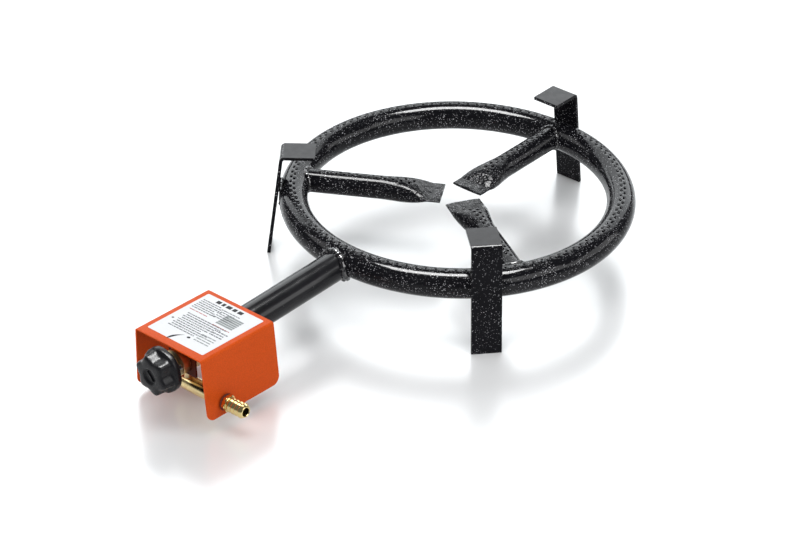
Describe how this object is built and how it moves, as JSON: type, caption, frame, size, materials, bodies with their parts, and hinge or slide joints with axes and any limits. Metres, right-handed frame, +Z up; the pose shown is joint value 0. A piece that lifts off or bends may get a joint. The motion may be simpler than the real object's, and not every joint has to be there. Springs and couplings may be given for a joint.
{
  "type": "gas ring burner stand",
  "caption": "Low ring gas burner on three strap legs, with inward arms, a mixing tube, a covered gas tap with a lobed knob, and a ribbed hose tail.",
  "frame": {"origin": "on the floor, at the middle of the whole assembly's plan", "axes": "+Z up, the tap knob towards -Y, the ring towards +Y, the hose tail towards +X"},
  "size_m": [0.2996, 0.5104, 0.0935],
  "materials": {
    "speckled_enamel": "glossy black enamel with fine pale specks",
    "dark_strap": "dark grey, semi-gloss",
    "satin_black": "satin black",
    "orange_paint": "semi-gloss orange-red powder coat",
    "label_paper": "white printed label film",
    "brass": "bright turned brass",
    "steel": "plain steel",
    "black_plastic": "moulded black plastic",
    "fibre_washer": "red fibre"
  },
  "bodies": {
    "base": {"burner_ring": "speckled_enamel", "inner_arm_1": "speckled_enamel", "inner_arm_2": "speckled_enamel", "inner_arm_3": "speckled_enamel", "leg_1": "dark_strap", "leg_2": "dark_strap", "leg_3": "dark_strap", "mixing_tube": "satin_black", "tap_cover": "orange_paint", "rating_label": "label_paper", "tap_bracket": "orange_paint", "tap_body": "brass", "tap_bonnet": "brass", "bonnet_screw_1": "steel", "bonnet_screw_2": "steel", "injector": "brass", "gas_bar": "brass", "hose_tail": "brass", "inlet_washer": "fibre_washer"},
    "plug": {"tap_plug": "brass", "return_spring": "steel"},
    "spindle": {"tap_stem": "steel", "knob": "black_plastic"}
  },
  "joints": [
    {"name": "knob_turn", "type": "hinge", "parent": "base", "child": "plug", "pos_m": [0, -0.21172, 0.0415], "axis": [0, -1, 0], "range_deg": [0, 150]},
    {"name": "knob_push", "type": "slide", "parent": "plug", "child": "spindle", "axis": [0, 1, 0], "range_m": [0, 0.003], "stiffness_N_per_m": 600, "springref_m": -0.003, "deforming": ["return_spring"]}
  ]
}
